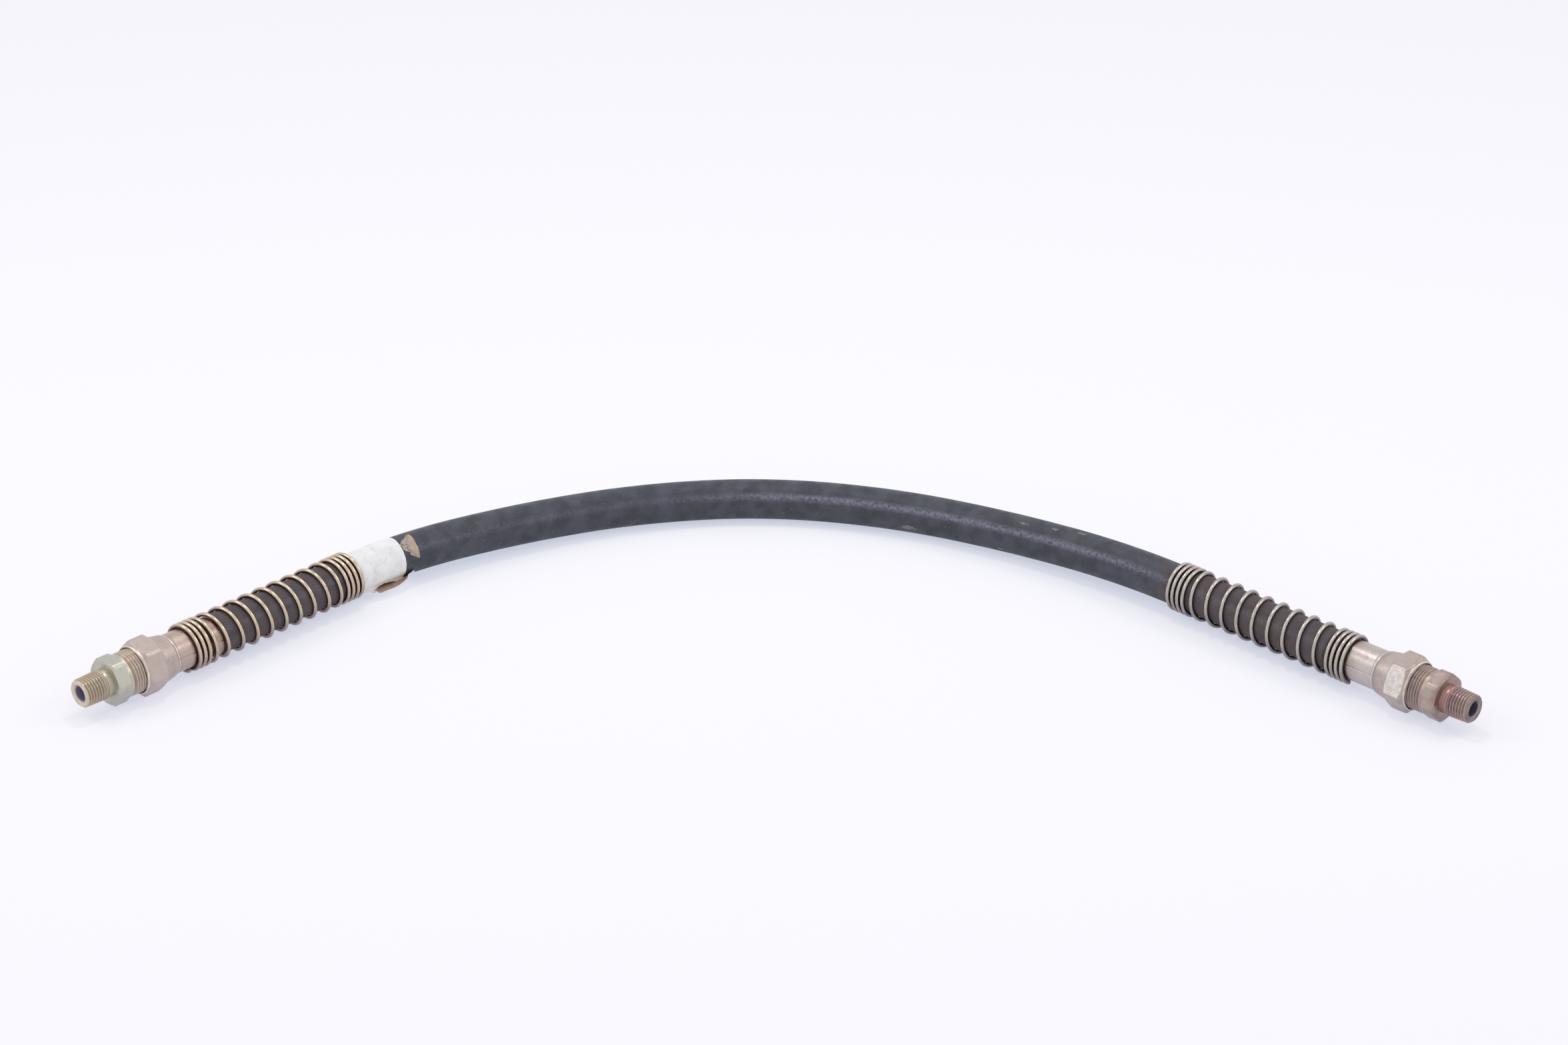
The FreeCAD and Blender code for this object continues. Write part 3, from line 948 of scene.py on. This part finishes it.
def sticker_place(a, b):
    """a runs from the torn edge to the clean one, and b from the viewer's side to the top."""
    angle = sticker_low + (sticker_high - sticker_low) * b
    left = graded(tear, angle) + fibre(angle / 3, 0.12)
    u = left + (clean_edge + 0.1 * math.sin(angle / 6) - left) * a
    radius = label_radius + 0.25 * (1 - a) ** 2
    turn = math.radians(angle)
    return off_hose(u, radius * math.sin(turn), radius * math.cos(turn))


sticker = grid_piece("sticker_remnant_sheet", 24, 60, sticker_place, (8, 14))
sticker = papered(sticker, 0.12, "sticker_remnant")

# %% [markdown]
# ## Zinc plate
# The fittings and guards are steel with a thin zinc plate that was dipped in chromate. The dip
# leaves a colour film that drifts from gold to green to pink, and wear and handling dull it. All
# metals here share one recipe: colours along the piece, two tints in patches, a fine mottle, and
# a surface that is satin and slightly pitted. Places are read in millimetres along the fitting's
# own axis, so a thread's roots can be painted darker as shade and one flat of a nut can have a
# finish of its own.

# %% Places on a fitting for materials
def fitting_place(tree, side):
    """Place on a fitting in millimetres, its distance u along the axis, and its radius."""
    coordinates = add(tree, "ShaderNodeTexCoord").outputs["Object"]
    where = lay[side]
    place = add(tree, "ShaderNodeMapping", {"vector_type": "TEXTURE"}, Vector=coordinates,
                Location=where.translation, Rotation=(0, 0, where.to_euler().z),
                Scale=(MM, MM, MM)).outputs[0]
    parts = add(tree, "ShaderNodeSeparateXYZ", Vector=place)
    across = add(tree, "ShaderNodeCombineXYZ", Y=parts.outputs[1], Z=parts.outputs[2])
    radius = add(tree, "ShaderNodeVectorMath", {"operation": "LENGTH"}, _0=across.outputs[0])
    return place, parts.outputs[0], radius.outputs["Value"]


def along_axis(tree, u, length, stops):
    """Colour that changes along the axis. Stops are (millimetres, hex code)."""
    return ramp(tree, maths(tree, "DIVIDE", u, length), [(at / length, code) for at, code in stops])


# %% Zinc plate
def tinted(tree, place, colour, first, second, size=7.0):
    """Chromate film: two tints drift over the colour in patches, and a fine mottle dulls it."""
    clouds = patches(tree, place, size, 0.42, 0.68)
    colour = mixed(tree, times(tree, clouds, 0.45), colour, first)
    moved = add(tree, "ShaderNodeVectorMath", {"operation": "ADD"}, _0=place, _1=(31, 17, 5))
    clouds = patches(tree, moved.outputs[0], size * 0.6, 0.45, 0.7)
    colour = mixed(tree, times(tree, clouds, 0.45), colour, second)
    mottle = patches(tree, place, 0.55, 0.3, 0.75, 2.0)
    return mixed(tree, times(tree, mottle, 0.14), colour, "5a4f4c")


def plated(tree, place, colour, roughness, pits=0.012, bare=1.0):
    """Satin metal with small pits. roughness is the pair that the patches run between."""
    dull = between(tree, patches(tree, place, 3.0), 0, 1, *roughness)
    grain = patches(tree, place, 0.7, 0.2, 0.8, 4.0)
    return add(tree, "ShaderNodeBsdfPrincipled", Base_Color=colour, Metallic=bare, Roughness=dull,
               Normal=bumps(tree, grain, pits))


# %% End body finishes
def thread_root_shade(tree, u, radius):
    """Share of painted shade: 1 at the roots of the two threads and 0 on their crests."""
    crest = maths(tree, "ADD", times(tree, u, taper_slope), taper_radius)
    taper = between(tree, maths(tree, "SUBTRACT", crest, radius), 0.12, 0.6)
    taper = times(tree, taper, within(tree, u, 1.1, 11.3))
    straight = between(tree, radius, thread_radius - 0.58, thread_radius - 0.1, 1.0, 0.0)
    straight = times(tree, straight, within(tree, u, collar_end, 60.0))
    return maths(tree, "MAXIMUM", taper, straight)


def end_body_finish(side, stops, first, second, root, bore, roughness):
    material, tree = new_material(side + "_end_body_chromated_zinc")
    place, u, radius = fitting_place(tree, side)
    colour = along_axis(tree, u, 40, stops)
    colour = tinted(tree, place, colour, first, second)
    # The thread roots are painted darker with the root colour, as shade in the grooves.
    colour = mixed(tree, times(tree, thread_root_shade(tree, u, radius), 0.38), colour, root)
    # The bore is painted a light purple grey without metal: painted light where little light reaches inside.
    outside = between(tree, radius, passage + 0.05, passage + 0.3)
    colour = mixed(tree, outside, bore, colour)
    finish_material(tree, plated(tree, place, colour, roughness, bare=outside))
    dress(bodies[side], material)


# The bright stop at the left nose face is a painted highlight. The lighter neck stops on both bodies are partly their
# film's green and pink and partly a painted highlight.
end_body_finish(
    "left",
    [(0, "d8cdbb"), (1.0, "bda894"), (11.2, "b3a290"), (12.4, "d9dcbc"), (14.4, "bcbab2"),
     (18.0, "b9bdb0"), (21.0, "bebdb5"), (23.0, "c9b7ab"), (26.0, "c5b2a5"), (37.0, "bfa698")],
    first="b5b8a8", second="c0aba3", root="6a5d4e", bore="8f86a2", roughness=(0.30, 0.42))
end_body_finish(
    "right",
    [(0, "7a7076"), (1.2, "a8918d"), (10.5, "9a8483"), (12.2, "bf8a8c"), (14.4, "9d8985"),
     (18.0, "b3a39d"), (23.0, "b3a09a"), (26.0, "a8948f"), (37.0, "8d7f84")],
    first="ada28e", second="9a7a7c", root="544649", bore="5e5468", roughness=(0.32, 0.46))

# %% [markdown]
# ## Nut finishes
# The left nut is pinkish and even. On the right nut one flat faces the light and the zinc there is
# bare, whitish and pitted. A flat is where the distance along its own normal equals the
# hexagon's half width, so a dot product finds it.

# %% Nut finishes
bare_flat_angle, inner_thread_shade_end = 22.0, 36


def on_flat(tree, place, u, angle, flat, start, end):
    """1 on one flat of a hexagon, whose normal lies at an angle from the side."""
    normal = (0, math.cos(math.radians(angle)), math.sin(math.radians(angle)))
    reach = add(tree, "ShaderNodeVectorMath", {"operation": "DOT_PRODUCT"}, _0=place, _1=normal)
    near = between(tree, reach.outputs["Value"], flat - 0.16, flat - 0.04)
    return times(tree, near, within(tree, u, start, end, 0.3))


def bare_zinc(tree, place):
    """Whitish zinc with dark pits."""
    pits = patches(tree, place, 0.5, 0.56, 0.66, 2.0)
    zinc = mixed(tree, patches(tree, place, 2.5, 0.35, 0.7), "e6dfdb", "d2cbc7")
    zinc = mixed(tree, times(tree, pits, 0.55), zinc, "8d8084")
    return plated(tree, place, zinc, (0.5, 0.6), 0.05)


def nut_finish(side, stops, first, second, roughness, bare=0.0):
    """Plated nut whose thread inside is painted dark as shade. bare is the share of bare zinc on one flat."""
    material, tree = new_material(side + "_nut_chromated_zinc")
    place, u, radius = fitting_place(tree, side)
    colour = along_axis(tree, u, 50, stops)
    colour = tinted(tree, place, colour, first, second, 6.0)
    # The thread inside the nut's front is painted dark as shade.
    inside = times(tree, between(tree, radius, nut_bore - 0.2, nut_bore + 0.5, 0.7, 0.0),
                   between(tree, u, inner_thread_shade_end, inner_thread_shade_end + 1, 1.0, 0.0))
    shader = plated(tree, place, mixed(tree, inside, colour, "4c4144"), roughness)
    if bare:
        plain = bare_zinc(tree, place)
        flat = on_flat(tree, place, u, bare_flat_angle, nut_flat,
                       nut_hex_start + 0.4, nut_hex_end - 0.6)
        shader = add(tree, "ShaderNodeMixShader", _0=times(tree, flat, bare),
                     _1=shader.outputs[0], _2=plain.outputs[0])
    finish_material(tree, shader)
    dress(nuts[side], material)


# The brightest stops, at each nut's front chamfer ring, are a painted highlight.
nut_finish(
    "left",
    [(29.2, "e9e0d6"), (29.9, "dccec6"), (30.6, "c6b6b0"), (31.4, "c2b2ac"), (40.0, "c0b2ad"),
     (44.0, "baa9a4"), (47.7, "c4b3ae")],
    first="bdb9b0", second="b9a5a0", roughness=(0.36, 0.48))
nut_finish(
    "right",
    [(29.2, "e2ddd1"), (29.9, "cdc4b8"), (30.6, "c0b4ac"), (31.4, "bbada7"), (40.0, "c0b3ae"),
     (44.0, "beb0ab"), (47.7, "aa9e9b")],
    first="b0a79f", second="a58d8c", roughness=(0.34, 0.46), bare=0.9)

# %% [markdown]
# ## Ferrule finishes
# Beside the nut's rear edge the ferrule is squeezed into a low ridge. The bright band there is
# partly rubbed zinc and partly a painted highlight, and the dark line under the nut's edge is
# painted shade. The ridge is a bump in the material, because the nut's lip slides over it.
# Towards the coils the film turns pink on the left and brown on the right.

# %% Ferrule finishes
ridge_height = 0.25


def ferrule_finish(side, stops, first, second, roughness, band, nut_edge_shade_colour):
    material, tree = new_material(side + "_ferrule_rolled_zinc_strip")
    place, u, radius = fitting_place(tree, side)
    colour = along_axis(tree, u, 80, stops)
    colour = tinted(tree, place, colour, first, second, 8.0)
    # A bright band beside the nut is partly rubbed zinc and partly a painted highlight.
    rubbed_and_highlight = times(tree, within(tree, u, nut_end + 0.5, nut_end + 1.2, 0.3), 0.6)
    colour = mixed(tree, rubbed_and_highlight, colour, band)
    # A dark line under the nut's edge is painted shade.
    nut_edge_shade = between(tree, u, nut_end + 0.1, nut_end + 0.7, 0.9, 0.0)
    colour = mixed(tree, nut_edge_shade, colour, nut_edge_shade_colour)
    shader = plated(tree, place, colour, roughness, 0.008)
    pitted = shader.inputs["Normal"].links[0].from_socket
    ridge = add(tree, "ShaderNodeBump", Strength=1.0, Distance=ridge_height * MM, Normal=pitted,
                Height=within(tree, u, nut_end + 0.4, nut_end + 1.6, 0.6))
    tree.links.new(ridge.outputs[0], shader.inputs["Normal"])
    finish_material(tree, shader)
    dress(ferrules[side], material)


ferrule_finish(
    "left", [(48, "bcaaa3"), (56, "baa59e"), (60, "a88f8c"), (70, "a98f88"), (75, "9b8078")],
    first="bdb29c", second="b8918e", roughness=(0.30, 0.42), band="dccbc5", nut_edge_shade_colour="6f5f63")
ferrule_finish(
    "right", [(48, "c4bbb9"), (56, "c5bab7"), (60, "b6aaa5"), (66, "a08f86"), (75, "86746b")],
    first="bdb7b3", second="a8948c", roughness=(0.26, 0.38), band="ccc9cd", nut_edge_shade_colour="55555f")

# %% [markdown]
# ## Guard wires
# The left wire is bright gold with green and pink in its film. The right one is dull and pitted,
# near the colour of bare nickel. Each turn is painted lighter on its top and outer crest as a
# highlight, and darker on its flanks, its underside and the inner side that lies on the hose as
# shade.

# %% Guard wire finishes
low_side, high_side = -9.0, 7.0
flank_radius, crest_radius = 10.3, 11.5
inner_shade_radius, inner_shade_end_radius = 9.8, 10.5


def wire_finish(side, top, under, flank, first, second, roughness, pits):
    material, tree = new_material(side + "_guard_drawn_wire_zinc")
    place, u, radius = fitting_place(tree, side)
    height = add(tree, "ShaderNodeSeparateXYZ", Vector=place).outputs[2]
    # Lighter on top and darker underneath: painted light and shade.
    colour = mixed(tree, between(tree, height, low_side, high_side), under, top)
    colour = tinted(tree, place, colour, first, second, 3.2)
    # Darker flanks towards the lighter crest are painted shade and highlight.
    colour = mixed(tree, between(tree, radius, flank_radius, crest_radius), flank, colour)
    # The inner side that faces the hose is painted darker as shade.
    inner_side_shade = between(tree, radius, inner_shade_radius, inner_shade_end_radius, 0.7, 0.0)
    colour = mixed(tree, inner_side_shade, colour, "5e4f4f")
    finish_material(tree, plated(tree, place, colour, roughness, pits))
    dress(guards[side], material)


wire_finish("left", top="d3c2ad", under="9f8c87", flank="80696a", first="c9cc9f", second="c99f9d",
            roughness=(0.17, 0.26), pits=0.006)
wire_finish("right", top="bdb4af", under="918986", flank="6c6166", first="bdb9a8", second="a5969a",
            roughness=(0.20, 0.30), pits=0.02)

# %% [markdown]
# ## Rubber
# The cover is black rubber that was cured in a cloth wrap, so it has a fine woven impression and a
# slight bluish bloom. Brown dust has settled inside the guards. Between them a pale streak runs
# along one side, partly rubbed bloom and partly a painted highlight, and a few pale scuffs lie
# about it. The map is in real metres along and round the hose, so each mark has its own place.

# %% Places on a mapped sheet or tube
def map_place(tree, scale=1):
    """Place on a piece's own map, in millimetres. The hose's layers are mapped in metres and so
    need a scale of 1000."""
    flat_map = add(tree, "ShaderNodeTexCoord").outputs["UV"]
    return add(tree, "ShaderNodeMapping", Vector=flat_map, Scale=(scale, scale, scale)).outputs[0]


def wave(tree, value, length=1.0):
    """Sine wave from -1 to 1 that repeats after a length."""
    return maths(tree, "SINE", times(tree, value, 2 * math.pi / length))


def sum_of_squares(tree, a, b):
    return maths(tree, "ADD", times(tree, a, a), times(tree, b, b))


# %% Marks on the rubber
# Places are in millimetres along the hose from its left end face, and round it from below.
dust_full, dust_end = 148, 185
streak_low, streak_high, streak_middle = 19.4, 22.0, 465
scuffs = [(441.5, 11.3, 5.0, 2.2), (500.0, 26.0, 3.5, 0.8), (517.0, 27.4, 2.0, 1.0),
          (530.3, 29.4, 3.5, 0.9), (491.0, 9.2, 3.5, 1.0), (396.0, 20.3, 1.2, 0.6),
          (409.0, 20.3, 1.2, 0.6)]


def cover_colour(tree, place):
    """Bluish black in patches and long streaks."""
    colour = mixed(tree, patches(tree, place, 9.0, 0.35, 0.65), "3e404a", "4e505b")
    streaks = add(tree, "ShaderNodeMapping", Vector=place, Scale=(0.06, 1, 1)).outputs[0]
    return mixed(tree, times(tree, patches(tree, streaks, 1.2, 0.5, 0.75), 0.2), colour, "565862")


def dust_in_guards(tree, u):
    """1 inside the two guards, falling to 0 a little way beyond them."""
    far = maths(tree, "MINIMUM", u, maths(tree, "SUBTRACT", face_to_face / MM, u))
    return between(tree, far, dust_full, dust_end, 1.0, 0.0)


def bloom_and_highlight_streak(tree, place, u, around):
    """Pale streak along one side, partly rubbed bloom and partly a painted highlight, plainest right of the hose's
    middle and faint elsewhere.
    """
    streak = within(tree, around, streak_low, streak_high, 1.6)
    from_middle = maths(tree, "ABSOLUTE", maths(tree, "SUBTRACT", u, streak_middle))
    streak = times(tree, streak, between(tree, from_middle, 70, 150, 1.0, 0.25))
    return times(tree, streak, patches(tree, place, 1.6, 0.22, 0.72, 5.0))


def scuff_marks(tree, place, u, around):
    """Ragged ovals and small flecks. Each scuff is its place along and round, and half its
    length and width."""
    marks = 0.0
    ragged = patches(tree, place, 1.4, 0.25, 0.75)
    for spot_u, spot_around, long, wide in scuffs:
        du = maths(tree, "DIVIDE", maths(tree, "SUBTRACT", u, spot_u), long)
        dv = maths(tree, "DIVIDE", maths(tree, "SUBTRACT", around, spot_around), wide)
        away = maths(tree, "ADD", sum_of_squares(tree, du, dv), times(tree, ragged, 1.2))
        marks = maths(tree, "MAXIMUM", between(tree, away, 0.9, 1.15, 1.0, 0.0), marks)
    flecks = patches(tree, place, 1.1, 0.73, 0.77, 1.0)
    return maths(tree, "MAXIMUM", marks, flecks)


print(len(scuffs), "scuffs on the hose")

# %% Hose cover finish
thread_spacing = 0.9
material, tree = new_material("cloth_wrapped_black_rubber")
place = map_place(tree, 1000)
parts = add(tree, "ShaderNodeSeparateXYZ", Vector=place)
u, around = parts.outputs[0], parts.outputs[1]
weave = times(tree, wave(tree, u, thread_spacing), wave(tree, around, thread_spacing))
dusty = dust_in_guards(tree, u)
dust = between(tree, patches(tree, place, 7.0, 0.25, 0.75), 0, 1, 0.35, 0.75)
colour = cover_colour(tree, place)
colour = mixed(tree, times(tree, dusty, dust), colour, "6a5a58")
# The pale streak is partly rubbed bloom and partly a painted highlight.
colour = mixed(tree, times(tree, bloom_and_highlight_streak(tree, place, u, around), 0.75), colour, "9595aa")
colour = mixed(tree, times(tree, scuff_marks(tree, place, u, around), 0.75), colour, "8f8784")
dull = between(tree, patches(tree, place, 5.0), 0, 1, 0.46, 0.60)
dull = maths(tree, "ADD", dull, times(tree, dusty, 0.4))
finish_material(tree, add(tree, "ShaderNodeBsdfPrincipled", Base_Color=colour, Roughness=dull,
                          Specular_IOR_Level=0.3,
                          Normal=bumps(tree, between(tree, weave, -1, 1), 0.03, 0.6)))
dress(hose_cover, material)


# %% Inner layers' finishes
strand_lead, strand_count, map_length_round = 2.4, 24, 60


def spiral(tree, place, lead, strands):
    """Bands of a braid's strands that run round in one direction."""
    parts = add(tree, "ShaderNodeSeparateXYZ", Vector=place)
    turn = maths(tree, "ADD", times(tree, parts.outputs[1], strands / map_length_round),
                 maths(tree, "DIVIDE", parts.outputs[0], lead))
    return wave(tree, turn)


material, tree = new_material("braided_textile_cord")
place = map_place(tree, 1000)
crossing = times(tree, spiral(tree, place, strand_lead, strand_count),
                 spiral(tree, place, -strand_lead, strand_count))
crossing = between(tree, crossing, -1, 1)
finish_material(tree, add(tree, "ShaderNodeBsdfPrincipled", Roughness=0.85,
                          Base_Color=mixed(tree, crossing, "a2967c", "d8ceb6"),
                          Normal=bumps(tree, crossing, 0.25)))
dress(hose_braid, material)

material, tree = new_material("smooth_liner_rubber")
colour = mixed(tree, patches(tree, map_place(tree, 1000), 6.0), "1f1f21", "2b2b2e")
finish_material(tree, add(tree, "ShaderNodeBsdfPrincipled", Base_Color=colour, Roughness=0.35))
dress(hose_liner, material)

# %% [markdown]
# ## Paper and glue
# The label's face is uncoated white paper with creases and grey specks. The side that was stuck
# down has taken a tan colour from the old glue. The remnant shows the same glue with grey dirt.
# Both sheets are mapped in millimetres, or nearly so.

# %% White paper
white_paper, tree = new_material("creased_white_label_paper")
place = map_place(tree)
crease = add(tree, "ShaderNodeTexVoronoi", {"feature": "DISTANCE_TO_EDGE"}, Vector=place, Scale=0.16)
crease = between(tree, crease.outputs["Distance"], 0.0, 0.09, 1.0, 0.0)
crease = times(tree, crease, patches(tree, place, 5.0, 0.5, 0.62))
specks = patches(tree, place, 1.3, 0.66, 0.72, 2.0)
colour = mixed(tree, patches(tree, place, 6.0, 0.35, 0.7), "f7f6f8", "eeecef")
# The creases are painted darker as shade in the folds.
colour = mixed(tree, times(tree, crease, 0.25), colour, "b9b0b4")
colour = mixed(tree, times(tree, specks, 0.45), colour, "a8a2a8")
relief = maths(tree, "SUBTRACT", patches(tree, place, 4.0, 0.2, 0.8), times(tree, crease, 0.4))
finish_material(tree, add(tree, "ShaderNodeBsdfPrincipled", Base_Color=colour, Roughness=0.9,
                          Normal=bumps(tree, relief, 0.25)))
print("made", white_paper.name)

# %% Old glue
old_glue, tree = new_material("aged_tan_label_glue")
place = map_place(tree)
colour = mixed(tree, patches(tree, place, 3.0, 0.35, 0.65), "c3a693", "ad8e7e")
colour = mixed(tree, times(tree, patches(tree, place, 1.0, 0.6, 0.7), 0.5), colour, "8c7b78")
finish_material(tree, add(tree, "ShaderNodeBsdfPrincipled", Base_Color=colour, Roughness=0.6,
                          Normal=bumps(tree, patches(tree, place, 0.8), 0.06)))
print("made", old_glue.name)

# %% Torn sticker
torn_sticker, tree = new_material("torn_tan_sticker")
place = map_place(tree)
from_tear = add(tree, "ShaderNodeSeparateXYZ", Vector=place).outputs[0]
colour = mixed(tree, patches(tree, place, 2.0, 0.35, 0.6), "d2b493", "c2a489")
grey = maths(tree, "ADD", between(tree, from_tear, 2.0, 6.5, 0.35, -0.1),
             patches(tree, place, 1.8, 0.3, 0.7))
colour = mixed(tree, between(tree, grey, 0.4, 0.7), colour, "b1a5a2")
gaps = times(tree, patches(tree, place, 1.5, 0.52, 0.6), between(tree, from_tear, 2.5, 5.5, 0.9, 0.1))
colour = mixed(tree, gaps, colour, "4d4a4f")
finish_material(tree, add(tree, "ShaderNodeBsdfPrincipled", Base_Color=colour, Roughness=0.75,
                          Normal=bumps(tree, patches(tree, place, 0.9), 0.08)))
print("made", torn_sticker.name)


# %% Paper finishes
def two_faced(piece, face, glued):
    """Give a sheet a face finish, and another to its glued side, whose vertices come first."""
    dress(piece, face)
    piece.data.materials.append(glued)
    half = len(piece.data.vertices) // 2
    under = [p for p in piece.data.polygons if max(p.vertices) < half]
    for polygon in under:
        polygon.material_index = 1
    print(piece.name, "has", len(under), "glued faces")


two_faced(label, white_paper, old_glue)
two_faced(sticker, torn_sticker, old_glue)

# %% Sizes
size_record = {"cad": cad_box, "visual": [list(corner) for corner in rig.bounds()]}
json.dump(size_record, open("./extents.json", "w"))
